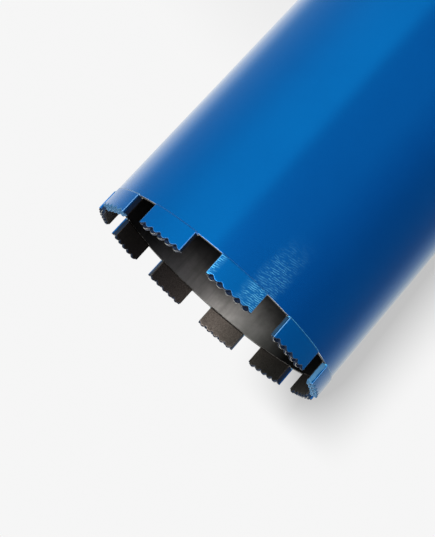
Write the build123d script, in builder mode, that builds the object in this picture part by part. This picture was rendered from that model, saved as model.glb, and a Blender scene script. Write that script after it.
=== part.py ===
from build123d import *
import math
import os

# Diamond core bit, standing on the end of its threaded hub with the crown up.
# The origin is the centre of the hub's end face, and +Z runs along the barrel to the crown.

# Barrel: plain steel tube
barrel_diameter = 130.5
barrel_wall = 2.0
barrel_end_chamfer = 0.3
drilling_depth = 450.0  # inside face of the back plate to the tips of the segments

# Crown: segments butt-welded to the barrel's end, proud of the wall outside and inside
segment_count = 11
segment_length = 24.0  # along the outer face
segment_thickness = 3.5
segment_stand_out = 0.75  # how far the outer face stands out from the barrel
segment_height = 10.5  # to the tips of the outer row of teeth

# Cutting face: two rows of blunt teeth, staggered by half a pitch
tooth_pitch = 4.6
tooth_height = 1.1
tooth_land = 1.1  # flat width of each crest
inner_row_step = 0.6  # how much higher the inner row stands than the outer row
first_segment_angle = -90.0  # one segment is centred on the front, -Y

# Back plate: turned disc, with a spigot inside the barrel and the hub welded through it
plate_thickness = 6.0
plate_edge_chamfer = 1.5
spigot_depth = 4.0
spigot_chamfer = 0.5
spigot_clearance = 0.05

# Hub: round boss with an inside thread of 1 1/4 inch, 7 turns to the inch
hub_diameter = 52.0
hub_height = 40.0  # end face to back plate
hub_nose_diameter = 40.0  # the part that passes through the back plate
hub_edge_chamfer = 1.0
thread_minor_diameter = 27.8
thread_major_diameter = 31.75
thread_mouth_depth = 1.5  # countersink that leads the spindle in
wrench_width = 41.0
wrench_height = 20.0
wrench_start = 10.0  # end face to the lower edge of the flats

# Heights of the faces that pieces seat on
plate_seat = hub_height
barrel_seat = plate_seat + plate_thickness
plate_inside = barrel_seat + spigot_depth
inner_tips = plate_inside + drilling_depth
outer_tips = inner_tips - inner_row_step
crown_seat = outer_tips - segment_height

# Radii
barrel_outer = barrel_diameter / 2
barrel_inner = barrel_outer - barrel_wall
segment_outer = barrel_outer + segment_stand_out
segment_inner = segment_outer - segment_thickness
row_border = segment_outer - segment_thickness / 2

segment_angle = math.degrees(segment_length / segment_outer)
flank_angle = math.degrees(math.atan2(tooth_height, (tooth_pitch - tooth_land) / 2))


def tooth_row(inner_radius, outer_radius, tips, middle_crest):
    """One half of a segment's thickness: the stretch of ring that lies under a row of teeth."""
    roots = tips - tooth_height
    teeth = 2 * math.ceil(segment_length / 2 / tooth_pitch) + 3
    with BuildPart() as row:
        with BuildSketch(Plane.YZ):
            with Locations((0, crown_seat)):
                Rectangle(teeth * tooth_pitch, roots - crown_seat, align=(Align.CENTER, Align.MIN))
            with Locations((middle_crest, roots)):
                with GridLocations(tooth_pitch, 0, teeth, 1):
                    Trapezoid(tooth_pitch, tooth_height, flank_angle, align=(Align.CENTER, Align.MIN))
        extrude(amount=segment_outer + segment_thickness)
        with BuildSketch(Plane.XY.offset(crown_seat)):
            with BuildLine():
                outer_arc = CenterArc((0, 0), outer_radius, -segment_angle / 2, segment_angle)
                inner_arc = CenterArc((0, 0), inner_radius, -segment_angle / 2, segment_angle)
                Line(outer_arc @ 0, inner_arc @ 0)
                Line(outer_arc @ 1, inner_arc @ 1)
            make_face()
        extrude(amount=segment_height + inner_row_step, mode=Mode.INTERSECT)
    return row.part


os.makedirs("parts", exist_ok=True)

# Barrel
with BuildPart() as barrel:
    with BuildSketch(Plane.XY.offset(barrel_seat)):
        Circle(barrel_outer)
        Circle(barrel_inner, mode=Mode.SUBTRACT)
    extrude(amount=crown_seat - barrel_seat)
    crown_edges = barrel.edges().group_by(Axis.Z)[-1].sort_by(SortBy.RADIUS)
    chamfer(crown_edges[-1], barrel_end_chamfer)
barrel.part.label = "barrel"
export_step(barrel.part, "parts/barrel.step")

# Segment, centred on +X: the inner row has a tooth at the middle, the outer row a root there
outer_row = tooth_row(row_border, segment_outer, outer_tips, tooth_pitch / 2)
inner_row = tooth_row(segment_inner, row_border, inner_tips, 0)
with BuildPart() as segment_blank:
    add(outer_row)
    add(inner_row)

for index in range(segment_count):
    angle = first_segment_angle + index * 360 / segment_count
    with BuildPart() as segment:
        add(segment_blank.part.rotate(Axis.Z, angle))
    name = f"segment_{index + 1:02d}"
    segment.part.label = name
    export_step(segment.part, f"parts/{name}.step")

# Back plate
with BuildPart() as back_plate:
    with BuildSketch(Plane.XY.offset(plate_seat)):
        Circle(barrel_outer)
    extrude(amount=plate_thickness)
    rim_edge = back_plate.edges().group_by(Axis.Z)[0]
    chamfer(rim_edge, plate_edge_chamfer)
    with BuildSketch(Plane.XY.offset(barrel_seat)):
        Circle(barrel_inner - spigot_clearance)
    extrude(amount=spigot_depth)
    chamfer(back_plate.edges().group_by(Axis.Z)[-1], spigot_chamfer)
    with BuildSketch(Plane.XY.offset(plate_seat)):
        Circle(hub_nose_diameter / 2 + spigot_clearance)
    extrude(amount=plate_thickness + spigot_depth, mode=Mode.SUBTRACT)
back_plate.part.label = "back_plate"
export_step(back_plate.part, "parts/back_plate.step")

# Hub
hub_top = plate_inside
with BuildPart() as hub:
    with BuildSketch():
        Circle(hub_diameter / 2)
    extrude(amount=hub_height)
    chamfer(hub.edges().group_by(Axis.Z)[0], hub_edge_chamfer)
    with BuildSketch(Plane.XY.offset(hub_height)):
        Circle(hub_nose_diameter / 2)
    extrude(amount=hub_top - hub_height)
    with BuildSketch(Plane.XY.offset(wrench_start)):
        for side in (-1, 1):
            with Locations((side * (wrench_width / 2 + hub_diameter / 2), 0)):
                Rectangle(hub_diameter, hub_diameter)
    extrude(amount=wrench_height, mode=Mode.SUBTRACT)
    with BuildSketch():
        Circle(thread_minor_diameter / 2)
    extrude(amount=hub_top, mode=Mode.SUBTRACT)
    with BuildSketch(Plane.XZ):
        with BuildLine():
            Polyline(
                (0, 0),
                (thread_major_diameter / 2, 0),
                (thread_minor_diameter / 2, thread_mouth_depth),
                (0, thread_mouth_depth),
                close=True,
            )
        make_face()
    revolve(axis=Axis.Z, mode=Mode.SUBTRACT)
hub.part.label = "hub"
export_step(hub.part, "parts/hub.step")
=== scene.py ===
import math
import bpy
import bmesh
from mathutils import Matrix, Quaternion, Vector


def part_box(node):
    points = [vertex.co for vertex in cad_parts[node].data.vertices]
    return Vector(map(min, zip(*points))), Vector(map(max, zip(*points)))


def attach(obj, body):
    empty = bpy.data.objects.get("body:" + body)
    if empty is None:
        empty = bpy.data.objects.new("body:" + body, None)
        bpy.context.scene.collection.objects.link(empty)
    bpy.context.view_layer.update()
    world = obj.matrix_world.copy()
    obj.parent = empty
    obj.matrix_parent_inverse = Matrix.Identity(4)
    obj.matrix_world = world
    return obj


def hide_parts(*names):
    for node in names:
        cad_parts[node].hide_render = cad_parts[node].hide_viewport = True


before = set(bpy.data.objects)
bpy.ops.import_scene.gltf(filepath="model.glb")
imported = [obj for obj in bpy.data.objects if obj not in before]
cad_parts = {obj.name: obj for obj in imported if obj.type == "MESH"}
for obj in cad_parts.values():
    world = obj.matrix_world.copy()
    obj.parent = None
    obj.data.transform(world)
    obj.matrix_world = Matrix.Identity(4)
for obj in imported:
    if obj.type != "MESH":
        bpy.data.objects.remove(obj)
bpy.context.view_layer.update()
print("frame loaded")

mm = 0.001
fullTurn = 2 * math.pi
barrelLow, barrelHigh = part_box("barrel")
plateLow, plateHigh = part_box("back_plate")
hubLow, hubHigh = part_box("hub")
frontLow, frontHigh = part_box("segment_01")  # this segment is centred on the front
segmentNodes = sorted(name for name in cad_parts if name.startswith("segment_"))

barrelRadius = barrelHigh.x
hubRadius = hubHigh.x
crownSeat = barrelHigh.z  # where the tube ends and the segments start
plateSeat = barrelLow.z  # where the tube meets the back plate
segmentRadius = -frontLow.y
segmentTips = frontHigh.z


class Wire:
    # one output socket, with arithmetic that adds Math nodes
    def __init__(self, graph, socket):
        self.graph, self.socket = graph, socket

    def out(self, name):
        return Wire(self.graph, self.socket.node.outputs[name])

    def __add__(self, other):
        return self.graph.maths("ADD", self, other)

    __radd__ = __add__

    def __sub__(self, other):
        return self.graph.maths("SUBTRACT", self, other)

    def __rsub__(self, other):
        return self.graph.maths("SUBTRACT", other, self)

    def __mul__(self, other):
        return self.graph.maths("MULTIPLY", self, other)

    __rmul__ = __mul__

    def __truediv__(self, other):
        return self.graph.maths("DIVIDE", self, other)

    def __rtruediv__(self, other):
        return self.graph.maths("DIVIDE", other, self)

    def __neg__(self):
        return self.graph.maths("MULTIPLY", self, -1)

    def __abs__(self):
        return self.graph.maths("ABSOLUTE", self)


class Graph:
    # builds nodes in a shader tree or a Geometry Nodes tree
    def __init__(self, tree):
        self.tree = tree

    def node(self, kind, settings=None, sockets=None, output=0):
        made = self.tree.nodes.new(kind)
        for name, value in (settings or {}).items():
            if name == "stops":
                elements = made.color_ramp.elements
                while len(elements) < len(value):
                    elements.new(0.5)
                for element, (position, tone) in zip(elements, value):
                    element.position, element.color = position, tone
            else:
                setattr(made, name, value)
        for name, value in (sockets or {}).items():
            if isinstance(value, Wire):
                self.tree.links.new(value.socket, made.inputs[name])
            else:
                made.inputs[name].default_value = value
        return Wire(self, made.outputs[output]) if made.outputs else made

    def maths(self, operation, *values):
        return self.node("ShaderNodeMath", {"operation": operation}, dict(enumerate(values)))

    def vector(self, operation, *values, output=0):
        settings = {"operation": operation}
        return self.node("ShaderNodeVectorMath", settings, dict(enumerate(values)), output)

    def combine(self, x, y, z):
        return self.node("ShaderNodeCombineXYZ", None, {0: x, 1: y, 2: z})

    def split(self, vector):
        parts = self.node("ShaderNodeSeparateXYZ", None, {0: vector})
        return [parts.out(axis) for axis in ("X", "Y", "Z")]

    def smooth(self, value, start, end, low=0.0, high=1.0):
        # a soft step from low to high as value goes from start to end
        settings = {"interpolation_type": "SMOOTHSTEP", "clamp": True}
        sockets = {0: value, 1: start, 2: end, 3: low, 4: high}
        return self.node("ShaderNodeMapRange", settings, sockets)

    def noise(self, place, scale, detail=2.0, roughness=0.5):
        return self.node(
            "ShaderNodeTexNoise",
            {"noise_dimensions": "3D"},
            {"Vector": place, "Scale": scale, "Detail": detail, "Roughness": roughness},
        )

    def stretchedNoise(self, place, scales, detail=2.0, roughness=0.5):
        return self.noise(self.vector("MULTIPLY", place, scales), 1.0, detail, roughness)

    def blend(self, factor, first, second):
        settings = {"data_type": "RGBA", "blend_type": "MIX"}
        return self.node("ShaderNodeMix", settings, {0: factor, 6: first, 7: second}, output=2)

    def attribute(self, name):
        return self.node("ShaderNodeAttribute", {"attribute_name": name}, output="Fac")

    def fromAxis(self, x, y):
        return self.maths("SQRT", x * x + y * y)

    def roundAxis(self, x, y):
        # the angle round the axis in radians, 0 at the front and growing towards -X
        return self.maths("ARCTAN2", -x, -y)

    def mixShaders(self, factor, first, second):
        return self.node("ShaderNodeMixShader", None, {0: factor, 1: first, 2: second})


def colour(red, green, blue):
    # a colour as it is read off a screen, 0 to 255, in the scene's linear values
    def linear(value):
        value /= 255
        return value / 12.92 if value <= 0.04045 else ((value + 0.055) / 1.055) ** 2.4

    return (linear(red), linear(green), linear(blue), 1.0)


def newMaterial(name):
    # also returns its empty tree and the place on the object that is shaded
    material = bpy.data.materials.new(name)
    material.use_nodes = True
    material.node_tree.nodes.clear()
    graph = Graph(material.node_tree)
    return material, graph, graph.node("ShaderNodeTexCoord").out("Object")


def finishMaterial(graph, shader):
    graph.node("ShaderNodeOutputMaterial", None, {"Surface": shader})


def newGeometryTree(name, inputs):
    # inputs: each label with its default value, whose type gives the socket's type
    kinds = {float: "NodeSocketFloat", int: "NodeSocketInt", bpy.types.Material: "NodeSocketMaterial"}
    tree = bpy.data.node_groups.new(name, "GeometryNodeTree")
    tree.interface.new_socket("Geometry", in_out="OUTPUT", socket_type="NodeSocketGeometry")
    for label, value in inputs.items():
        socket = tree.interface.new_socket(label, in_out="INPUT", socket_type=kinds[type(value)])
        socket.default_value = value
    graph = Graph(tree)
    source = tree.nodes.new("NodeGroupInput")
    given = {label: Wire(graph, source.outputs[label]) for label in inputs}
    return tree, graph, given


def meshFrom(name, shape):
    mesh = bpy.data.meshes.new(name)
    shape.to_mesh(mesh)
    shape.free()
    return mesh


def placeObject(name, data):
    made = bpy.data.objects.new(name, data)
    bpy.context.scene.collection.objects.link(made)
    return made


def evaluatedMesh(holder):
    depsgraph = bpy.context.evaluated_depsgraph_get()
    return bpy.data.meshes.new_from_object(holder.evaluated_get(depsgraph), depsgraph=depsgraph)


def growPiece(name, tree, values):
    # runs a Geometry Nodes tree once and keeps its result as a plain mesh
    holder = placeObject(name, bpy.data.meshes.new(name))
    modifier = holder.modifiers.new("grow", "NODES")
    modifier.node_group = tree
    for item in tree.interface.items_tree:
        if item.item_type == "SOCKET" and item.in_out == "INPUT":
            modifier[item.identifier] = values[item.name]
    made = evaluatedMesh(holder)
    holder.modifiers.clear()
    blank = holder.data
    holder.data = made
    made.name = name
    bpy.data.meshes.remove(blank)
    return holder


camera = {
    "position": Vector((0.02237, -0.39578, 0.55679)),
    "target": Vector((0.00696, 0.00027, 0.48267)),
    "roll": -138.08,  # degrees, so that the crown points down to the left
    "lens": 58.05,
    "sensorWidth": 36.0,
    "nearest": 0.01,
    "farthest": 60.0,
}

cameraData = bpy.data.cameras.new("camera")
cameraData.lens = camera["lens"]
cameraData.sensor_width = camera["sensorWidth"]
cameraData.clip_start = camera["nearest"]
cameraData.clip_end = camera["farthest"]
cameraObject = placeObject("camera", cameraData)
cameraObject.location = camera["position"]
cameraObject.rotation_mode = "QUATERNION"
upright = (camera["target"] - camera["position"]).to_track_quat("-Z", "Y")
cameraObject.rotation_quaternion = upright @ Quaternion((0, 0, 1), math.radians(camera["roll"]))
bpy.context.scene.camera = cameraObject
bpy.context.scene.view_settings.view_transform = "Standard"
print("camera placed")

# each lamp: azimuth from the front towards +X and elevation, both in degrees and seen from the middle of
# the crown, then its distance, width, height, power and colour
lamps = {
    "keyLight": (52, 30, 1.6, 0.9, 0.9, 12.0, (1.0, 1.0, 1.0)),
    "mouthLight": (19, 13, 1.6, 0.3, 0.4, 19.0, (1.0, 0.99, 0.97)),
    "backLight": (215, 35, 2.0, 1.2, 1.2, 22.0, (1.0, 1.0, 1.0)),
}

crownCentre = Vector((0, 0, segmentTips))
for name, (azimuth, elevation, distance, width, height, power, tint) in lamps.items():
    azimuth, elevation = math.radians(azimuth), math.radians(elevation)
    outward = math.cos(elevation)
    toward = Vector((math.sin(azimuth) * outward, -math.cos(azimuth) * outward, math.sin(elevation)))
    light = bpy.data.lights.new(name, "AREA")
    light.shape = "RECTANGLE"
    light.size = width
    light.size_y = height
    light.energy = power
    light.color = tint
    lampObject = placeObject(name, light)
    lampObject.location = crownCentre + toward * distance
    lampObject.rotation_mode = "QUATERNION"
    lampObject.rotation_quaternion = (-toward).to_track_quat("-Z", "Y")
    lampObject.visible_camera = False

white = (1, 1, 1, 1)
black = (0, 0, 0, 1)
studio = {
    "background": 0.92,
    "fill": 0.15,  # strength of the room's own light
    "glossStrength": 1.30,
}
# what glossy surfaces see round the set: degrees from the front towards +X, then red, green and blue
glossStops = (
    (-180, 0.84, 0.84, 0.78),
    (-158, 0.70, 0.70, 0.62),
    (-136, 0.66, 0.67, 0.58),
    (-106, 0.23, 0.25, 0.29),
    (-62, 0.22, 0.25, 0.33),
    (-38, 0.32, 0.35, 0.45),
    (-16, 0.48, 0.49, 0.56),
    (22, 0.49, 0.49, 0.56),
    (30, 0.78, 0.96, 0.87),
    (60, 0.76, 0.88, 0.82),
    (84, 0.52, 0.69, 0.69),
    (118, 0.40, 0.62, 0.65),
    (135, 0.98, 0.98, 0.87),
    (158, 0.98, 0.98, 0.90),
    (180, 0.84, 0.84, 0.78),
)


def glossSeen(graph, direction):
    # the set as glossy rays see it, the same at every height
    x, y, _ = graph.split(direction)
    turn = graph.maths("ARCTAN2", x, -y) / fullTurn + 0.5
    stops = [(degrees / 360 + 0.5, (red, green, blue, 1.0)) for degrees, red, green, blue in glossStops]
    return graph.node("ShaderNodeValToRGB", {"stops": stops}, {0: turn})


def seenDirectly(graph, ray):
    # 1 for rays from the camera, also through something clear
    return graph.maths("MAXIMUM", ray.out("Is Camera Ray"), ray.out("Is Transmission Ray"))


world = bpy.data.worlds.new("studioWorld")
world.use_nodes = True
world.node_tree.nodes.clear()
sky = Graph(world.node_tree)
ray = sky.node("ShaderNodeLightPath")
shine = glossSeen(sky, sky.node("ShaderNodeTexCoord").out("Generated"))
roomLight = sky.node("ShaderNodeBackground", None, {0: white, 1: studio["fill"]})
reflected = sky.node("ShaderNodeBackground", None, {0: shine, 1: studio["glossStrength"]})
backdrop = sky.node("ShaderNodeBackground", None, {0: white, 1: studio["background"]})
unseen = sky.mixShaders(ray.out("Is Glossy Ray"), roomLight, reflected)
sky.node("ShaderNodeOutputWorld", None, {0: sky.mixShaders(seenDirectly(sky, ray), unseen, backdrop)})
bpy.context.scene.world = world

floorLook = {
    "radius": 9.0,
    "sides": 96,
    "colour": (0.80, 0.80, 0.81, 1.0),
    "grainColour": (0.7, 0.7, 0.7, 1.0),
    "grainNoise": (90.0, 4.0),
    "grain": 0.06,
    "lift": (0.2, 1.2, 0.5, 1.0),  # two distances, and the backdrop's share there
    "ownReflection": (0.12, 0.4),  # nearer than this the floor reflects as it is
}
# a painted long soft shadow, drawn where the bit would throw it away from the mouth lamp, laid out over the
# floor in metres
paintedLongShadow = {
    "aside": 0.03,  # its middle lies this far towards -X
    "lean": 0.2227,  # and this much further for each metre back
    "halfWidth": 0.076,
    "spread": 0.082,  # growth of the half width for each metre back
    "edge": (1.1, -0.3),  # in half widths from its middle
    "start": (-0.02, 0.10),
    "end": (5.6, 2.2),
    "strength": 0.72,
    "darkest": 0.42,
}


def floorFinish():
    material, graph, place = newMaterial("floorPaper")
    x, y, _ = graph.split(place)
    distance = graph.vector("LENGTH", place, output="Value")
    grain = graph.noise(place, *floorLook["grainNoise"]) * floorLook["grain"]
    tone = graph.blend(grain, floorLook["colour"], floorLook["grainColour"])
    shader = graph.node("ShaderNodeBsdfDiffuse", None, {0: tone})
    ray = graph.node("ShaderNodeLightPath")
    shown = seenDirectly(graph, ray)

    glow = graph.node("ShaderNodeEmission", None, {0: white, 1: studio["background"]})
    shader = graph.mixShaders(shown * graph.smooth(distance, *floorLook["lift"]), shader, glow)

    # painted shadow: a band over the floor darkened for camera rays, widening further back
    middle = x + paintedLongShadow["aside"] + paintedLongShadow["lean"] * y
    offMiddle = abs(middle) / (paintedLongShadow["halfWidth"] + paintedLongShadow["spread"] * y)
    shade = graph.smooth(offMiddle, *paintedLongShadow["edge"])
    shade = shade * graph.smooth(y, *paintedLongShadow["start"]) * graph.smooth(y, *paintedLongShadow["end"])
    shade = graph.maths("MINIMUM", shade * paintedLongShadow["strength"], paintedLongShadow["darkest"])
    dark = graph.node("ShaderNodeBsdfDiffuse", None, {0: black})
    shader = graph.mixShaders(shown * shade, shader, dark)

    shine = glossSeen(graph, place)
    reflected = graph.node("ShaderNodeEmission", None, {0: shine, 1: studio["glossStrength"]})
    glossy = ray.out("Is Glossy Ray") * graph.smooth(distance, *floorLook["ownReflection"])
    finishMaterial(graph, graph.mixShaders(glossy, shader, reflected))
    return material


shape = bmesh.new()
bmesh.ops.create_circle(shape, cap_ends=True, radius=floorLook["radius"], segments=floorLook["sides"])
floorMesh = meshFrom("floor", shape)
floorMesh.materials.append(floorFinish())
floor = placeObject("floor", floorMesh)
print("stage and light ready")

# below, a noise is its scale, detail and roughness, and a pair is the start and end of a soft step
paint = {
    "colour": colour(3, 97, 172),
    "deep": colour(1, 84, 158),
    "lighterFront": colour(5, 112, 184),
    "light": colour(96, 190, 232),
    "paintedLight": colour(74, 126, 168),
    "shaded": colour(30, 44, 66),
    "edge": colour(128, 168, 196),
    "roughness": 0.20,
    "metal": 0.86,
    "specular": 0.12,
    "cloudNoise": (22.0, 3.0),
    "deepClouds": (0.35, 0.70),
    "clouded": (0.30, 0.72),
    "cloudedShare": 0.22,
    "cloudRoughness": 0.10,
    "strokeRoughness": 0.12,
    "speckNoise": (900.0, 2.0),
    "speckRoughness": 0.02,
}
bare = {
    "steel": colour(188, 196, 206),
    "inside": colour(150, 147, 145),
    "insideDark": colour(90, 88, 86),
    # painted shade, for the bore and the segments' inner faces
    "paintedShadeTone": colour(12, 12, 13),
    "cutEnd": colour(56, 54, 52),
    "sinter": colour(92, 85, 80),
    "sinterDark": colour(58, 52, 48),
    "lip": colour(178, 176, 168),
    "lipSteep": colour(104, 146, 180),
    "sootAndShade": colour(16, 30, 52),
    "weld": colour(150, 146, 142),
}
# strokes that a hand grinder left in the paint
grinding = {
    "spacing": 0.86 * mm,
    "tilt": -0.18,
    "waverNoise": (300.0, 2.0),
    "waver": 2.0,  # in rows
    "line": (0.34, 0.10),  # from the middle of a row, in rows
    "aroundScale": 420.0,
    "levelScale": 1100.0,
    "brokenNoise": (1.0, 2.0, 0.55),
    "broken": (0.40, 0.58),
    "unevenNoise": (130.0, 2.0),
    "uneven": (0.25, 0.62, 0.35, 1.0),
}


def groundStrokes(graph, place):
    # short light strokes, side by side round the axis and a little off level
    x, y, z = graph.split(place)
    level = z + x * grinding["tilt"]
    waver = graph.noise(place, *grinding["waverNoise"]) - 0.5
    row = graph.maths("FRACT", level / grinding["spacing"] + grinding["waver"] * waver)
    line = graph.smooth(abs(row - 0.5), *grinding["line"])
    around = grinding["aroundScale"]
    along = graph.combine(x * around, y * around, level * grinding["levelScale"])
    broken = graph.smooth(graph.noise(along, *grinding["brokenNoise"]), *grinding["broken"])
    uneven = graph.smooth(graph.noise(place, *grinding["unevenNoise"]), *grinding["uneven"])
    return line * broken * uneven


def paintedCoat(graph, place, strokes, chips, lighterFront=0.0):
    # returns colour, roughness and fine specks of the blue paint, with bare steel where chips is 1
    cloud = graph.noise(place, *paint["cloudNoise"])
    speck = graph.noise(place, *paint["speckNoise"])
    tone = graph.blend(graph.smooth(cloud, *paint["deepClouds"]), paint["colour"], paint["deep"])
    clouded = graph.smooth(cloud, *paint["clouded"]) * paint["cloudedShare"]
    tone = graph.blend(clouded, paint["colour"], tone)
    tone = graph.blend(lighterFront, tone, paint["lighterFront"])
    # strokes are painted light blue, a painted glint on the marks
    tone = graph.blend(strokes, tone, paint["light"])
    tone = graph.blend(chips, tone, bare["steel"])
    rough = paint["roughness"] + paint["cloudRoughness"] * (cloud - 0.5)
    rough = rough + paint["strokeRoughness"] * strokes + paint["speckRoughness"] * (speck - 0.5)
    return tone, rough, speck


def finishMetal(graph, base, roughness, metal, height, relief, specular=paint["specular"]):
    # relief: strength and depth of the bump that height gives
    strength, depth = relief
    bump = graph.node("ShaderNodeBump", None, {"Strength": strength, "Distance": depth, "Height": height})
    shader = graph.node(
        "ShaderNodeBsdfPrincipled",
        None,
        {
            "Base Color": base,
            "Roughness": roughness,
            "Metallic": metal,
            "Specular IOR Level": specular,
            "Normal": bump,
        },
    )
    finishMaterial(graph, shader)


def under(surface, depths):
    return [surface - depth for depth in depths]


barrelLook = {
    "bore": (1.2 * mm, 0.9 * mm),  # under the outer face, where the paint ends
    # the ground area beside the front segment, whose strokes carry a painted glint and a painted sheen:
    # radians round the axis, metres from the end
    "patchMiddle": 0.145,
    "patchDrift": 0.8,
    "patchHalf": (0.125, 0.04),
    "patchLength": (0.030, 0.004),
    "strokes": 0.62,
    "paintedSheen": 0.06,
    "strokeRelief": 0.5,
    "speckRelief": 0.015,
    # bare nicks along the rim, only in the gaps between segments
    "nickNoise": (700.0, 3.0),
    "nickUneven": 0.2 * mm,
    "nickDepth": (0.14 * mm, 0.03 * mm),
    "gap": (0.315, 0.325),  # from a segment's middle, in pitches of the crown
    # the sawn end: metres from the end, metres under the outer face
    "sawnEnd": (0.12 * mm, 0.04 * mm),
    "sawnFace": (0.14 * mm, 0.32 * mm),
    "sawnRoughness": 0.6,
    "sawnDull": 0.7,
    "rim": (0.36 * mm, 0.20 * mm),  # the rounded rim is matt
    "rimRoughness": 0.35,
    # the bore's rolled skin, with painted shade at both sides and all round some way in
    "smudgeNoise": (34.0, 5.0, 0.6),
    "smudged": (0.3, 0.7),
    "drawnNoise": ((420.0, 420.0, 12.0), 3.0),
    "drawn": (0.45, 0.75),
    "drawnShare": 0.35,
    "drawnRelief": 0.5,
    "sideWander": 0.02,
    "plusSide": (0.014, 0.052),
    "plusShade": 0.9,
    "minusSide": (-0.034, -0.050),
    "minusShade": 0.97,
    "deepWander": 0.01,
    "deep": (0.005, 0.026),
    "deepShade": 0.8,
    "skinRoughness": 0.36,
    "smudgeRoughness": 0.12,
    "skinMetal": 0.9,
    "relief": (0.25, 0.04 * mm),
}


def barrelFinish():
    look = barrelLook
    material, graph, place = newMaterial("barrelFinish")
    x, y, z = graph.split(place)
    radius = graph.fromAxis(x, y)
    angle = graph.roundAxis(x, y)
    outside = graph.smooth(radius, *under(barrelRadius, look["bore"]))
    fromEnd = crownSeat - z

    offPatch = abs(angle - look["patchMiddle"] - fromEnd * look["patchDrift"])
    glintPatch = graph.smooth(offPatch, *look["patchHalf"]) * graph.smooth(fromEnd, *look["patchLength"])
    # painted glint on the ground strokes, and a painted sheen over their area
    strokes = groundStrokes(graph, place) * glintPatch * look["strokes"] + glintPatch * look["paintedSheen"]

    nick = fromEnd + (graph.noise(place, *look["nickNoise"]) - 0.5) * look["nickUneven"]
    pitches = graph.maths("FRACT", angle * len(segmentNodes) / fullTurn + 0.5)
    chips = graph.smooth(nick, *look["nickDepth"]) * graph.smooth(abs(pitches - 0.5), *look["gap"])
    tone, rough, speck = paintedCoat(graph, place, strokes, chips)

    smudge = graph.noise(place, *look["smudgeNoise"])
    drawn = graph.stretchedNoise(place, *look["drawnNoise"])
    skin = graph.blend(graph.smooth(smudge, *look["smudged"]), bare["inside"], bare["insideDark"])
    skin = graph.blend(graph.smooth(drawn, *look["drawn"]) * look["drawnShare"], skin, bare["insideDark"])
    # painted shade: darker towards both sides and deeper in the bore
    aside = x + (smudge - 0.5) * look["sideWander"]
    sides = graph.smooth(aside, *look["plusSide"]) * look["plusShade"]
    sides = sides + graph.smooth(aside, *look["minusSide"]) * look["minusShade"]
    inward = fromEnd + (smudge - 0.5) * look["deepWander"]
    burnAndShade = graph.maths("MAXIMUM", sides, graph.smooth(inward, *look["deep"]) * look["deepShade"])
    skin = graph.blend(burnAndShade, skin, bare["paintedShadeTone"])
    skinRough = look["skinRoughness"] + look["smudgeRoughness"] * (smudge - 0.5)

    sawn = graph.smooth(fromEnd, *look["sawnEnd"])
    sawn = sawn * graph.smooth(radius, *under(barrelRadius, look["sawnFace"]))
    base = graph.blend(sawn, graph.blend(outside, skin, tone), bare["cutEnd"])
    roughness = rough * outside + skinRough * (1 - outside)
    roughness = roughness + graph.smooth(fromEnd, *look["rim"]) * look["rimRoughness"]
    roughness = roughness * (1 - sawn) + look["sawnRoughness"] * sawn
    metal = graph.maths("MAXIMUM", chips, paint["metal"]) * outside + (1 - outside) * look["skinMetal"]
    metal = metal * (1 - sawn * look["sawnDull"])
    height = strokes * look["strokeRelief"] + speck * look["speckRelief"]
    height = height + drawn * look["drawnRelief"] * (1 - outside)
    finishMetal(graph, base, roughness, metal, height, look["relief"])
    return material


segmentLook = {
    # metres under the outer face: paint thins out over the end walls, and the inner face is bare
    "oversprayNoise": (260.0, 4.0),
    "overspray": 1.2 * mm,
    "wall": (0.5 * mm, 1.2 * mm),
    "inner": (2.7 * mm, 3.3 * mm),
    # the ground patches at both ends of the front segment, whose strokes carry a painted glint and a
    # painted sheen, in radians round the axis
    "minusStart": (0.01, 0.09),
    "minusEnd": (0.30, 0.22),
    "plusStart": (-0.125, -0.17),
    "plusEnd": (-0.30, -0.22),
    "plusShift": (0.017, 0.004, 0.031),  # takes other strokes than at the end towards -X
    "plusShare": 0.75,
    "paintedSheen": 0.08,
    "lighterFrontStart": (-0.34, -0.2),
    "lighterFrontEnd": (1.2, 0.8),
    "lighterFront": 0.8,
    "strokeRelief": 0.5,
    # edges: chips of bare steel, and a paler tone all along that is partly wear and partly a painted
    # highlight
    "fleckNoise": (1500.0, 3.0),
    "chipUneven": 0.9,
    "chips": (0.92, 1.1),
    "chipShare": 0.6,
    "rubbedAndHighlit": (0.0, 0.5),
    "rubbedAndHighlitShare": 0.6,
    "matt": (0.0, 0.12),
    "edgeRoughness": 0.42,
    "wallRoughness": 0.25,
    "wallDull": 0.45,
    # sintered metal, with painted shade at both sides
    "gritNoise": (1900.0, 3.0, 0.7),
    "grit": (0.30, 0.70),
    "gritRelief": 0.8,
    "coatRelief": 0.15,
    "plusSide": (0.018, 0.045),
    "minusSide": (-0.032, -0.052),
    "sideShade": 0.55,
    "innerRoughness": 0.38,
    "innerMetal": 0.85,
    # end walls get painted light where they face +X at the front, most of all far round towards -X, and
    # painted shade elsewhere
    "front": (0.0, -0.02),
    "facing": (-0.2, 0.3),
    "farRound": (0.4, 0.8, 0.4, 1.0),
    # the cutting face is dark, partly from use and partly painted shade, and gets painted light in the
    # segments far round at the front
    "wornAndShaded": (0.02, 0.35),
    "wornRoughness": 0.55,
    "wornMetal": 0.5,
    "paintedLightAngle": (0.80, 0.95),
    "paintedLightFront": (0.0, -0.01),
    "paintedLightWorn": 0.70,
    "paintedLightLip": 0.90,
    "lipUneven": 0.3,
    "lip": (0.50, 0.85),
    "relief": (0.35, 0.05 * mm),
}


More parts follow.
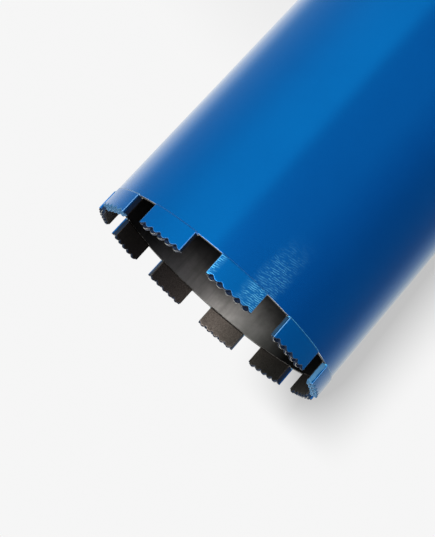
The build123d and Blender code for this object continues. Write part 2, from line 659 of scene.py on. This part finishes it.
def segmentFinish():
    look = segmentLook
    material, graph, place = newMaterial("segmentFinish")
    x, y, _ = graph.split(place)
    radius = graph.fromAxis(x, y)
    angle = graph.roundAxis(x, y)
    edge = graph.attribute("edge")

    overspray = graph.noise(place, *look["oversprayNoise"])
    sprayed = radius + (overspray - 0.5) * look["overspray"]
    wall = graph.smooth(sprayed, *under(segmentRadius, look["wall"]))
    inner = graph.smooth(sprayed, *under(segmentRadius, look["inner"]))
    # the cutting face: dark from use and painted shade
    wornAndShaded = graph.smooth(graph.attribute("top"), *look["wornAndShaded"])

    minus = graph.smooth(angle, *look["minusStart"]) * graph.smooth(angle, *look["minusEnd"])
    plus = graph.smooth(angle, *look["plusStart"]) * graph.smooth(angle, *look["plusEnd"])
    shifted = graph.vector("ADD", place, look["plusShift"])
    minusStrokes = groundStrokes(graph, place) * minus
    plusStrokes = groundStrokes(graph, shifted) * plus * look["plusShare"]
    strokes = minusStrokes + plusStrokes + (plus + minus) * look["paintedSheen"]
    # the segments round the front are painted a lighter blue
    lighterFront = graph.smooth(angle, *look["lighterFrontStart"]) * graph.smooth(angle, *look["lighterFrontEnd"])
    lighterFront = lighterFront * look["lighterFront"]

    fleck = graph.noise(place, *look["fleckNoise"])
    chips = graph.smooth(edge + (fleck - 0.5) * look["chipUneven"], *look["chips"]) * look["chipShare"]
    tone, rough, _ = paintedCoat(graph, place, strokes, chips, lighterFront)
    rough = rough + look["edgeRoughness"] * graph.smooth(edge, *look["matt"]) + look["wallRoughness"] * wall
    # paler edges: wear, and a painted highlight
    tone = graph.blend(graph.smooth(edge, *look["rubbedAndHighlit"]) * look["rubbedAndHighlitShare"], tone, paint["edge"])

    grit = graph.noise(place, *look["gritNoise"])
    sinter = graph.blend(graph.smooth(grit, *look["grit"]), bare["sinterDark"], bare["sinter"])
    # painted shade at both sides of the inner faces
    burnAndShade = graph.smooth(x, *look["plusSide"]) * look["sideShade"]
    burnAndShade = burnAndShade + graph.smooth(x, *look["minusSide"]) * look["sideShade"]
    sinter = graph.blend(burnAndShade, sinter, bare["paintedShadeTone"])

    # painted light and shade on the end walls, by which way they face
    normalX, normalY, _ = graph.split(graph.node("ShaderNodeTexCoord").out("Normal"))
    facing = (normalY * x - normalX * y) / radius
    lit = graph.smooth(y, *look["front"]) * graph.smooth(facing, *look["facing"])
    wallTone = graph.blend(lit * graph.smooth(angle, *look["farRound"]), paint["shaded"], paint["paintedLight"])

    # painted light on the cutting faces of the segments far round at the front
    paintedLight = graph.smooth(abs(angle), *look["paintedLightAngle"]) * graph.smooth(y, *look["paintedLightFront"])
    wornAndShadedTone = graph.blend(paintedLight * look["paintedLightWorn"], bare["sootAndShade"], paint["paintedLight"])
    # the inner row's edge: bare steel with a painted highlight
    lipTone = graph.blend(paintedLight * look["paintedLightLip"], bare["lip"], bare["lipSteep"])
    lip = graph.smooth(graph.attribute("lip") + (fleck - 0.5) * look["lipUneven"], *look["lip"])

    base = graph.blend(inner, graph.blend(wall, tone, wallTone), sinter)
    base = graph.blend(lip, graph.blend(wornAndShaded, base, wornAndShadedTone), lipTone)
    roughness = rough * (1 - inner) + look["innerRoughness"] * inner
    roughness = roughness * (1 - wornAndShaded) + look["wornRoughness"] * wornAndShaded
    coatMetal = paint["metal"] - look["wallDull"] * wall
    metal = graph.maths("MAXIMUM", chips, coatMetal) * (1 - inner) + inner * look["innerMetal"]
    metal = metal * (1 - wornAndShaded) + look["wornMetal"] * wornAndShaded
    height = strokes * look["strokeRelief"] + grit * look["gritRelief"] * inner + grit * look["coatRelief"]
    finishMetal(graph, base, roughness, metal, height, look["relief"])
    return material


weldLook = {
    "inside": (1.2 * mm, 0.6 * mm),  # under the barrel's outer face, where the paint ends
    "fleckNoise": (1200.0, 3.0),
    "chips": (0.72, 0.80),
    "chipShare": 0.3,
    # the seams of the crown get a painted highlight, paler towards +X and bright blue towards -X, in
    # radians
    "paleAndHighlight": 0.10,
    "paleHighlightSide": (-0.75, -1.0),
    "paleHighlightShare": 0.85,
    "brightHighlightSide": (0.05, 0.42),
    "brightHighlightShare": 0.95,
    "patchy": (0.25, 0.6, 0.6, 1.0),
    "burnAndShade": (0.35, 0.7),
    "addedRoughness": 0.22,
    "burntRoughness": 0.45,
    "burntMetal": 0.6,
    "relief": (0.4, 0.06 * mm),
}


def weldFinish():
    look = weldLook
    material, graph, place = newMaterial("weldFinish")
    x, y, z = graph.split(place)
    angle = graph.roundAxis(x, y)
    outside = graph.smooth(graph.fromAxis(x, y), *under(barrelRadius, look["inside"]))
    fleck = graph.noise(place, *look["fleckNoise"])
    chips = graph.smooth(fleck, *look["chips"]) * look["chipShare"]
    tone, rough, speck = paintedCoat(graph, place, 0.0, chips)
    crown = graph.smooth(z, plateSeat, crownSeat)
    # painted highlight on the seams of the crown, with a little paler tone on every weld
    paleAndHighlight = look["paleAndHighlight"] + graph.smooth(angle, *look["paleHighlightSide"]) * look["paleHighlightShare"] * crown
    bright = graph.smooth(angle, *look["brightHighlightSide"]) * look["brightHighlightShare"] * crown
    patchy = graph.smooth(fleck, *look["patchy"])
    tone = graph.blend(paleAndHighlight * patchy, tone, paint["edge"])
    tone = graph.blend(bright * patchy, tone, paint["light"])
    burnAndShade = graph.blend(graph.smooth(fleck, *look["burnAndShade"]), bare["insideDark"], bare["weld"])
    base = graph.blend(outside, burnAndShade, tone)
    roughness = (rough + look["addedRoughness"]) * outside + look["burntRoughness"] * (1 - outside)
    coatMetal = paint["metal"] * outside + (1 - outside) * look["burntMetal"]
    metal = graph.maths("MAXIMUM", chips, coatMetal)
    finishMetal(graph, base, roughness, metal, speck, look["relief"])
    return material


hubLook = {
    "steel": colour(168, 166, 163),
    "bright": colour(205, 203, 199),
    "stained": colour(118, 108, 98),
    "rusty": colour(92, 74, 60),
    "turnedNoise": ((16.0, 16.0, 5200.0), 3.0, 0.6),  # fine level lines round the axis
    "turned": (0.35, 0.7),
    "turnedRoughness": 0.1,
    "turnedRelief": 0.7,
    "stainNoise": (60.0, 5.0, 0.6),
    "stain": (0.5, 0.72),
    "stainShare": 0.45,
    "stainMatt": (0.4, 0.75),
    "stainRoughness": 0.22,
    "stainDull": (0.5, 0.75),
    "stainDulling": 0.25,
    "spotNoise": (520.0, 3.0),
    "spot": (0.68, 0.76),
    "spotShare": 0.5,
    "spotRelief": 0.15,
    "roughness": 0.30,
    "specular": 0.5,
    "relief": (0.3, 0.04 * mm),
}


def hubFinish():
    look = hubLook
    material, graph, place = newMaterial("hubFinish")
    turned = graph.stretchedNoise(place, *look["turnedNoise"])
    stain = graph.noise(place, *look["stainNoise"])
    spot = graph.noise(place, *look["spotNoise"])
    base = graph.blend(graph.smooth(turned, *look["turned"]), look["steel"], look["bright"])
    base = graph.blend(graph.smooth(stain, *look["stain"]) * look["stainShare"], base, look["stained"])
    base = graph.blend(graph.smooth(spot, *look["spot"]) * look["spotShare"], base, look["rusty"])
    roughness = look["roughness"] + look["stainRoughness"] * graph.smooth(stain, *look["stainMatt"])
    roughness = roughness + look["turnedRoughness"] * (turned - 0.5)
    metal = 1 - look["stainDulling"] * graph.smooth(stain, *look["stainDull"])
    height = turned * look["turnedRelief"] + spot * look["spotRelief"]
    finishMetal(graph, base, roughness, metal, height, look["relief"], look["specular"])
    return material


discLook = {
    "inside": (1.5 * mm, 2.5 * mm),  # under the spigot's top, where the paint starts
    "ringScale": 900.0,
    "ringNoise": (1.0, 3.0, 0.6),
    "ringStrokes": (0.6, 0.75),
    "ringShare": 0.25,
    "ringRelief": 0.6,
    "speckRelief": 0.2,
    # chipped over the chamfer: metres under the outer face
    "chamferInner": (1.75 * mm, 1.45 * mm),
    "chamferOuter": (0.05 * mm, 0.6 * mm),
    "rubNoise": (180.0, 4.0, 0.6),
    "chips": (0.56, 0.66),
    "chipShare": 0.9,
    "bareRings": (0.4, 0.65),
    "bareRoughness": 0.48,
    "bareMetal": 0.5,
    "relief": (0.3, 0.05 * mm),
}


def discFinish():
    look = discLook
    material, graph, place = newMaterial("discFinish")
    x, y, z = graph.split(place)
    radius = graph.fromAxis(x, y)
    outside = graph.smooth(z, *under(plateHigh.z, look["inside"]))
    rings = graph.combine(radius * look["ringScale"], z * look["ringScale"], 0.0)
    rings = graph.noise(rings, *look["ringNoise"])
    chamfer = graph.smooth(radius, *under(barrelRadius, look["chamferInner"]))
    chamfer = chamfer * graph.smooth(radius, *under(barrelRadius, look["chamferOuter"]))
    rub = graph.noise(place, *look["rubNoise"])
    chips = chamfer * graph.smooth(rub, *look["chips"]) * look["chipShare"]
    strokes = graph.smooth(rings, *look["ringStrokes"]) * look["ringShare"]
    tone, rough, speck = paintedCoat(graph, place, strokes, chips)
    bareDisc = graph.blend(graph.smooth(rings, *look["bareRings"]), bare["insideDark"], bare["inside"])
    base = graph.blend(outside, bareDisc, tone)
    roughness = rough * outside + look["bareRoughness"] * (1 - outside)
    coatMetal = paint["metal"] * outside + (1 - outside) * look["bareMetal"]
    metal = graph.maths("MAXIMUM", chips, coatMetal)
    height = rings * look["ringRelief"] + speck * look["speckRelief"]
    finishMetal(graph, base, roughness, metal, height, look["relief"])
    return material


barrelPaint = barrelFinish()
discPaint = discFinish()
segmentPaint = segmentFinish()
weldMetal = weldFinish()
hubSteel = hubFinish()
print("finishes ready")

# how a corner of an outline is rounded
corner = {
    "steps": 4,
    "mostOfSide": 0.45,
    "beside": 0.12,  # an added point lies this share of the arc's reach beside it
}


def roundedProfile(corners, rounding):
    # corners: radius and height along a closed outline. Each becomes an arc with a point close beside it
    points = []
    for index, place in enumerate(corners):
        here = Vector(place)
        before = Vector(corners[index - 1]) - here
        after = Vector(corners[(index + 1) % len(corners)]) - here
        most = corner["mostOfSide"]
        reach = min(rounding / math.tan(before.angle(after) / 2), before.length * most, after.length * most)
        start, end = here + before.normalized() * reach, here + after.normalized() * reach
        points.append(start + before.normalized() * reach * corner["beside"])
        for step in range(corner["steps"] + 1):
            share = step / corner["steps"]
            points.append((1 - share) ** 2 * start + 2 * share * (1 - share) * here + share ** 2 * end)
        points.append(end + after.normalized() * reach * corner["beside"])
    return points


def turnedMesh(name, profile, around):
    shape = bmesh.new()
    rings = []
    for radius, height in profile:
        angles = [fullTurn * step / around for step in range(around)]
        places = [(radius * math.cos(angle), radius * math.sin(angle), height) for angle in angles]
        rings.append([shape.verts.new(place) for place in places])
    for index, ring in enumerate(rings):
        following = rings[(index + 1) % len(rings)]
        for step in range(around):
            nextStep = (step + 1) % around
            shape.faces.new((ring[step], ring[nextStep], following[nextStep], following[step]))
    bmesh.ops.recalc_face_normals(shape, faces=shape.faces)
    mesh = meshFrom(name, shape)
    mesh.shade_smooth()
    return mesh


def finishPiece(piece, material, slotName, *nodes):
    piece.data.materials.clear()
    piece.data.materials.append(material)
    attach(piece, "root")
    if nodes:
        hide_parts(*nodes)
    print("piece", piece.name, len(piece.data.polygons), "faces")


tube = {
    "wall": 2.0 * mm,
    "rounding": 0.25 * mm,
    "around": 256,
}

tubeInside = barrelRadius - tube["wall"]
tubeOutline = [
    (barrelRadius, plateSeat),
    (barrelRadius, crownSeat),
    (tubeInside, crownSeat),
    (tubeInside, plateSeat),
]
tubeProfile = roundedProfile(tubeOutline, tube["rounding"])
tubeMesh = turnedMesh("barrelTube", tubeProfile, tube["around"])
finishPiece(placeObject("barrelTube", tubeMesh), barrelPaint, "barrel_paint", "barrel")

disc = {
    "chamfer": 1.5 * mm,
    "spigotChamfer": 0.5 * mm,
    "spigotClearance": 0.05 * mm,
    "holeRadius": 20.05 * mm,
    "rounding": 0.2 * mm,
    "around": 256,
}

spigotRadius = tubeInside - disc["spigotClearance"]
spigotTop = plateHigh.z
discOutline = [
    (disc["holeRadius"], plateLow.z),
    (barrelRadius - disc["chamfer"], plateLow.z),
    (barrelRadius, plateLow.z + disc["chamfer"]),
    (barrelRadius, plateSeat),
    (spigotRadius, plateSeat),
    (spigotRadius, spigotTop - disc["spigotChamfer"]),
    (spigotRadius - disc["spigotChamfer"], spigotTop),
    (disc["holeRadius"], spigotTop),
]
discProfile = roundedProfile(discOutline, disc["rounding"])
discMesh = turnedMesh("backDisc", discProfile, disc["around"])
finishPiece(placeObject("backDisc", discMesh), discPaint, "plate_paint", "back_plate")

thread = {
    "pitch": 25.4 * mm / 7,  # seven turns to the inch
    "minorRadius": 13.9 * mm,
    "majorRadius": 15.875 * mm,
    "halfCrest": 1 / 16,  # in pitches
    "flankAngle": 30,
    "mouthDepth": 1.5 * mm,
    "overrun": 1.5,  # in pitches, below the hub
    "stepsPerTurn": 72,
}
boss = {
    "noseRadius": 20.0 * mm,
    "coreRadius": 0.6 * thread["minorRadius"],  # the tap cuts wider than this
    "wrenchWidth": 41.0 * mm,
    "wrenchHeight": 20.0 * mm,
    "wrenchStart": 10.0 * mm,
    "wrenchReach": 50.0 * mm,  # of the blocks that cut the flats
    "edge": 1.0 * mm,
    "rounding": 0.3 * mm,
    "ease": 0.25 * mm,
    "easeSteps": 2,
    "easeAngle": 35,
    "sharpAngle": 32,
    "around": 192,
}


def threadTap():
    # a solid right-hand screw that is later cut out of the hub, longer than the hub at both ends
    pitch, low, high = thread["pitch"], thread["minorRadius"], thread["majorRadius"]
    crest = pitch * thread["halfCrest"]
    flank = (high - low) * math.tan(math.radians(thread["flankAngle"]))
    turnProfile = [
        (0, high),
        (crest, high),
        (crest + flank, low),
        (pitch - crest - flank, low),
        (pitch - crest, high),
    ]
    perTurn = thread["stepsPerTurn"]
    start = hubLow.z - thread["overrun"] * pitch
    turns = math.ceil((hubHigh.z - start) / pitch) + 1
    shape = bmesh.new()

    def vertex(step, offset, radius):
        angle = fullTurn * step / perTurn
        height = start + pitch * step / perTurn + offset
        return shape.verts.new((radius * math.cos(angle), radius * math.sin(angle), height))

    last = turns * perTurn
    rows = [[vertex(step, *point) for point in turnProfile] for step in range(last + 1)]
    rows += [[vertex(step, *turnProfile[0])] for step in range(last + 1, last + perTurn + 1)]
    for step in range(last):
        row, following = rows[step], rows[step + 1]
        for part in range(1, len(turnProfile)):
            shape.faces.new((row[part - 1], following[part - 1], following[part], row[part]))
        above, nextAbove = rows[step + perTurn][0], rows[step + perTurn + 1][0]
        shape.faces.new((row[-1], following[-1], nextAbove, above))
    for step in (0, last):
        loop = [rows[step + part][0] for part in range(perTurn + 1)] + rows[step][:0:-1]
        centre = shape.verts.new((0, 0, start + pitch * (step / perTurn + 0.5)))
        for first, second in zip(loop, loop[1:] + loop[:1]):
            shape.faces.new((first, second, centre))
    bmesh.ops.recalc_face_normals(shape, faces=shape.faces)
    return meshFrom("threadTap", shape)


def wrenchCut(side):
    # a block beside the hub, from one of its flats outward
    flat, reach = boss["wrenchWidth"] / 2, boss["wrenchReach"]
    low = (min(side * flat, side * reach), -reach, boss["wrenchStart"])
    high = (max(side * flat, side * reach), reach, boss["wrenchStart"] + boss["wrenchHeight"])
    shape = bmesh.new()
    bmesh.ops.create_cube(shape, size=1.0)
    for vertex in shape.verts:
        vertex.co = Vector(least if part < 0 else most for part, least, most in zip(vertex.co, low, high))
    return meshFrom("wrenchCut", shape)


def mouthCut():
    # a cone across the end face that opens the thread's mouth
    shape = bmesh.new()
    bmesh.ops.create_cone(
        shape,
        cap_ends=True,
        segments=boss["around"],
        radius1=2 * thread["majorRadius"] - thread["minorRadius"],
        radius2=thread["minorRadius"],
        depth=2 * thread["mouthDepth"],
    )
    return meshFrom("mouthCut", shape)


def cutWith(target, mesh):
    cutter = placeObject(mesh.name, mesh)
    cut = target.modifiers.new("cut", "BOOLEAN")
    cut.operation = "DIFFERENCE"
    cut.solver = "EXACT"
    cut.object = cutter
    return cutter


hubOutline = [
    (boss["coreRadius"], hubLow.z),
    (hubRadius - boss["edge"], hubLow.z),
    (hubRadius, hubLow.z + boss["edge"]),
    (hubRadius, plateLow.z),
    (boss["noseRadius"], plateLow.z),
    (boss["noseRadius"], hubHigh.z),
    (boss["coreRadius"], hubHigh.z),
]
hubProfile = roundedProfile(hubOutline, boss["rounding"])
hubPiece = placeObject("spindleHub", turnedMesh("spindleHub", hubProfile, boss["around"]))
cutters = [cutWith(hubPiece, wrenchCut(side)) for side in (-1, 1)]
ease = hubPiece.modifiers.new("ease", "BEVEL")
ease.width = boss["ease"]
ease.segments = boss["easeSteps"]
ease.limit_method = "ANGLE"
ease.angle_limit = math.radians(boss["easeAngle"])
cutters.append(cutWith(hubPiece, threadTap()))
cutters.append(cutWith(hubPiece, mouthCut()))
hubMesh = evaluatedMesh(hubPiece)
hubPiece.modifiers.clear()
hubPiece.data = hubMesh
hubMesh.shade_smooth()
hubMesh.set_sharp_from_angle(angle=math.radians(boss["sharpAngle"]))
for cutter in cutters:
    bpy.data.objects.remove(cutter)
finishPiece(hubPiece, hubSteel, "hub_steel", "hub")

segment = {
    "length": 24.0 * mm,  # along the outer face
    "thickness": 3.5 * mm,
    "rowStep": 0.6 * mm,  # the inner row of teeth stands higher
    "pitch": 4.6 * mm,
    "toothHeight": 1.1 * mm,
    "rounding": 0.32 * mm,
    "cells": (120, 18, 20),
    "lengthEase": -0.3,  # below 0 the cells are drawn towards the rounded ends
    "thicknessEase": -0.35,
    "rowBorder": 0.16 * mm,  # half the width over which one row of teeth turns into the other
    "crestPower": 1.25,  # above 1 the crests are broader than the roots
    "toothReach": (3.2 * mm, 0.2 * mm),  # below the tips, where the teeth start and are full
    "unevenTips": 0.12,  # in mm
    "unevenLevel": 0.9,  # keeps the highest tips inside the segment's height
    "seedSpacing": 3.7,
    "lipInset": 0.24 * mm,
    "lipHalf": (0.22 * mm, 0.05 * mm),
}
segmentInputs = {
    "Angle": 0.0,
    "Length": segment["length"],
    "Thickness": segment["thickness"],
    "Height": segmentTips - segment["rowStep"] - crownSeat,
    "Row Step": segment["rowStep"],
    "Pitch": segment["pitch"],
    "Tooth Height": segment["toothHeight"],
    "Rounding": segment["rounding"],
    "Outer Radius": segmentRadius,
    "Seat": crownSeat,
    "Seed": 0,
    "Material": segmentPaint,
}
segmentTree, graph, given = newGeometryTree("toothedSegment", segmentInputs)


def towardsEnds(value, amount):
    # moves even steps from -0.5 to 0.5 closer to the two ends, where the edges are rounded
    return value + amount * graph.maths("SINE", value * 2 * math.pi) / fullTurn


def held(value, limit):
    return graph.node("ShaderNodeClamp", None, {0: value, 1: -limit, 2: limit})


def toothDrop(phase):
    # 0 at a crest, 1 at a root, with a broad crest and a tighter root
    turn = graph.maths("POWER", graph.maths("PINGPONG", phase, 0.5) * 2, segment["crestPower"])
    return (1 - graph.maths("COSINE", turn * math.pi)) / 2


# a block of small cells with rounded edges
counts = {f"Vertices {axis}": cells + 1 for axis, cells in zip("XYZ", segment["cells"])}
block = graph.node("GeometryNodeMeshCube", None, {"Size": (1, 1, 1), **counts})
unitX, unitY, unitZ = graph.split(graph.node("GeometryNodeInputPosition"))
halfLength, halfThickness = given["Length"] / 2, given["Thickness"] / 2
along = towardsEnds(unitX, segment["lengthEase"]) * given["Length"]
across = towardsEnds(unitY, segment["thicknessEase"]) * given["Thickness"]
up = (unitZ + 0.5) * given["Height"]
heldAlong = held(along, halfLength - given["Rounding"])
heldAcross = held(across, halfThickness - given["Rounding"])
heldUp = graph.maths("MINIMUM", up, given["Height"] - given["Rounding"])
beyond = graph.combine(along - heldAlong, across - heldAcross, up - heldUp)
facing = graph.vector("NORMALIZE", beyond)
rounding = graph.combine(given["Rounding"], given["Rounding"], given["Rounding"])
pushAlong, pushAcross, pushUp = graph.split(graph.vector("MULTIPLY", facing, rounding))
roundAlong = heldAlong + pushAlong
roundAcross = heldAcross + pushAcross
roundUp = heldUp + pushUp

# the two rows of teeth: the inner one has a crest at the middle, the outer one a root
phase = roundAlong / given["Pitch"]
innerDrop = toothDrop(phase + 0.0) * given["Tooth Height"]
outerDrop = toothDrop(phase + 0.5) * given["Tooth Height"]
outerShare = graph.smooth(roundAcross, -segment["rowBorder"], segment["rowBorder"])
lift = (given["Row Step"] - innerDrop) * (1 - outerShare) - outerDrop * outerShare
seeded = graph.combine(phase, given["Seed"] * segment["seedSpacing"], 0.0)
uneven = graph.node(
    "ShaderNodeTexNoise",
    {"noise_dimensions": "2D"},
    {"Vector": seeded, "Scale": 1.0, "Detail": 1.0},
)
lift = lift + (uneven - segment["unevenLevel"]) * segment["unevenTips"] * mm
topShare = graph.smooth(roundUp, *under(given["Height"], segment["toothReach"]))
finalUp = roundUp + lift * topShare + given["Seat"]

radius = given["Outer Radius"] - halfThickness + roundAcross
turn = given["Angle"] + roundAlong / given["Outer Radius"]
bent = graph.combine(radius * graph.maths("COSINE", turn), radius * graph.maths("SINE", turn), finalUp)

# kept on the points: edge is 1 on a rounded edge, top on the cutting face, lip where its inner row starts,
# for its painted highlight
shareX, shareY, shareZ = graph.split(graph.vector("MULTIPLY", facing, facing))
edgeValue = 4 * (shareX * shareY + shareY * shareZ + shareX * shareZ)
lipValue = graph.smooth(abs(roundAcross + segment["lipInset"]), *segment["lipHalf"]) * shareZ
marked = block
for label, value in (("edge", edgeValue), ("top", shareZ), ("lip", lipValue)):
    marked = graph.node(
        "GeometryNodeStoreNamedAttribute",
        {"data_type": "FLOAT", "domain": "POINT"},
        {"Geometry": marked, "Name": label, "Value": value},
    )
placed = graph.node("GeometryNodeSetPosition", None, {"Geometry": marked, "Position": bent})
smoothed = graph.node("GeometryNodeSetShadeSmooth", None, {0: placed})
realized = graph.node("GeometryNodeRealizeInstances", None, {0: smoothed})
coated = graph.node("GeometryNodeSetMaterial", None, {"Geometry": realized, "Material": given["Material"]})
graph.node("NodeGroupOutput", None, {"Geometry": coated})

for index, node in enumerate(segmentNodes):
    low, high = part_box(node)
    middle = (low + high) / 2
    values = {**segmentInputs, "Angle": math.atan2(middle.y, middle.x), "Seed": index}
    piece = growPiece(f"toothedSegment{index + 1:02d}", segmentTree, values)
    finishPiece(piece, segmentPaint, "segment_paint", node)

# a weld is one or more runs of drops round the axis, each run spread over its sweep
bead = {
    "firstAngle": math.radians(-90),  # the front
    "nudge": 0.0001,  # keeps an exact quotient from falling below its whole number
    "widths": (0.88, 1.15),
    "lengths": (0.9, 1.2),
    "heights": (0.85, 1.15),
    "firstSeed": 20,
}
beadInputs = {
    "Runs": 1,
    "Beads": 1,
    "First Angle": bead["firstAngle"],
    "Sweep": 0.0,
    "Radius": barrelRadius,
    "Level": crownSeat,
    "Half Width": mm,
    "Half Length": mm,
    "Half Height": mm,
    "Wander": 0.0,
    "Seed": 0,
    "Material": weldMetal,
}
beadTree, graph, given = newGeometryTree("weldBeads", beadInputs)
spots = graph.node("GeometryNodeMeshLine", None, {"Count": given["Runs"] * given["Beads"]})
number = graph.node("GeometryNodeInputIndex")
run = graph.maths("FLOOR", number / given["Beads"] + bead["nudge"])
share = (number - run * given["Beads"]) / graph.maths("MAXIMUM", given["Beads"] - 1, 1) - 0.5
turn = given["First Angle"] + run * fullTurn / given["Runs"] + share * given["Sweep"]


def scattered(low, high, offset):
    return graph.node(
        "FunctionNodeRandomValue",
        {"data_type": "FLOAT"},
        {2: low, 3: high, "ID": number, "Seed": given["Seed"] + offset},
        output=1,
    )


out = given["Radius"] + scattered(-1.0, 1.0, 1) * given["Wander"]
level = given["Level"] + scattered(-1.0, 1.0, 2) * given["Wander"]
spot = graph.combine(out * graph.maths("COSINE", turn), out * graph.maths("SINE", turn), level)
spots = graph.node("GeometryNodeSetPosition", None, {"Geometry": spots, "Position": spot})
drop = graph.node("GeometryNodeMeshIcoSphere", None, {"Radius": 1.0, "Subdivisions": 2})
dropSize = graph.combine(
    given["Half Width"] * scattered(*bead["widths"], 3),
    given["Half Length"] * scattered(*bead["lengths"], 4),
    given["Half Height"] * scattered(*bead["heights"], 5),
)
beads = graph.node(
    "GeometryNodeInstanceOnPoints",
    None,
    {"Points": spots, "Instance": drop, "Rotation": graph.combine(0.0, 0.0, turn), "Scale": dropSize},
)
beads = graph.node("GeometryNodeRealizeInstances", None, {0: beads})
beads = graph.node("GeometryNodeSetShadeSmooth", None, {0: beads})
beads = graph.node("GeometryNodeSetMaterial", None, {"Geometry": beads, "Material": given["Material"]})
graph.node("NodeGroupOutput", None, {"Geometry": beads})

seam = {
    "Runs": len(segmentNodes),
    "Beads": 46,
    "Sweep": segment["length"] / segmentRadius,
    "Level": crownSeat - 0.10 * mm,
    "Half Length": 0.42 * mm,
    "Wander": 0.05 * mm,
}
welds = {
    "seamOutside": {
        **seam,
        "Radius": barrelRadius + 0.10 * mm,
        "Half Width": 0.34 * mm,
        "Half Height": 0.36 * mm,
    },
    "seamInside": {
        **seam,
        "Radius": tubeInside - 0.12 * mm,
        "Half Width": 0.36 * mm,
        "Half Height": 0.40 * mm,
    },
    "seamCorners": {
        **seam,
        "Beads": 2,
        "Sweep": seam["Sweep"] * 0.995,
        "Radius": barrelRadius - 0.45 * mm,
        "Level": crownSeat - 0.05 * mm,
        "Half Width": 0.95 * mm,
        "Half Length": 0.48 * mm,
        "Half Height": 0.42 * mm,
        "Wander": 0.06 * mm,
    },
    "discWeld": {
        "Beads": 360,
        "Sweep": fullTurn * 359 / 360,
        "Radius": barrelRadius - 0.05 * mm,
        "Level": plateSeat,
        "Half Width": 0.22 * mm,
        "Half Length": 0.95 * mm,
        "Half Height": 0.80 * mm,
        "Wander": 0.03 * mm,
    },
    "hubWeld": {
        "Beads": 110,
        "Sweep": fullTurn * 109 / 110,
        "Radius": hubRadius + 0.6 * mm,
        "Level": plateLow.z - 0.5 * mm,
        "Half Width": 2.0 * mm,
        "Half Length": 1.25 * mm,
        "Half Height": 1.9 * mm,
        "Wander": 0.10 * mm,
    },
}
for index, (name, values) in enumerate(welds.items()):
    piece = growPiece(name, beadTree, {**beadInputs, **values, "Seed": bead["firstSeed"] + index})
    finishPiece(piece, weldMetal, "hub_steel" if name == "hubWeld" else "barrel_paint")
